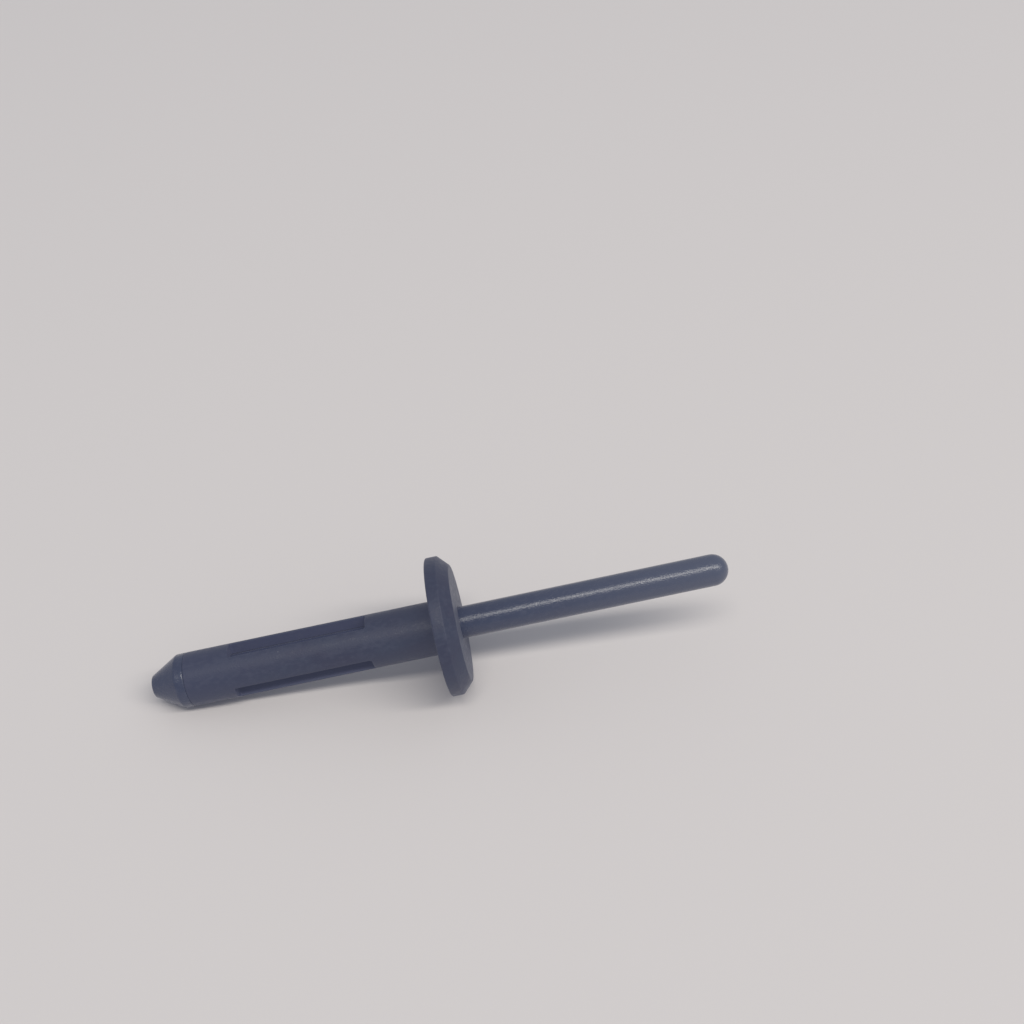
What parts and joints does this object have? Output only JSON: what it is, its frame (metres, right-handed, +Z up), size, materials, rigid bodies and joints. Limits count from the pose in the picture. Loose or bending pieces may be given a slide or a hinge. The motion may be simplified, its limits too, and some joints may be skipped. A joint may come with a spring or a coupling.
{
  "type": "plastic blind rivet",
  "caption": "Unset pull-type plastic blind rivet: bevelled round head, slotted hollow shank, and a mandrel with a cone nose and round-ended pull stem.",
  "frame": {"origin": "centre of the head's bearing face, on the axis of the shank", "axes": "+Z up from the surface that the rivet lies on, 8.015 mm below the origin; +X towards the pulling end of the stem, so the rivet's axis leans 9.238 degrees up from +X in the XZ plane; +Y across the head"},
  "size_m": [0.0673, 0.0164, 0.0162],
  "materials": {
    "body_nylon": "satin moulded nylon, dark slate blue-grey, fine even grain",
    "mandrel_nylon": "satin moulded nylon, a shade lighter and glossier than the body, fine even grain"
  },
  "bodies": {
    "root": {"rivet_body": "body_nylon", "mandrel": "mandrel_nylon"}
  },
  "joints": []
}
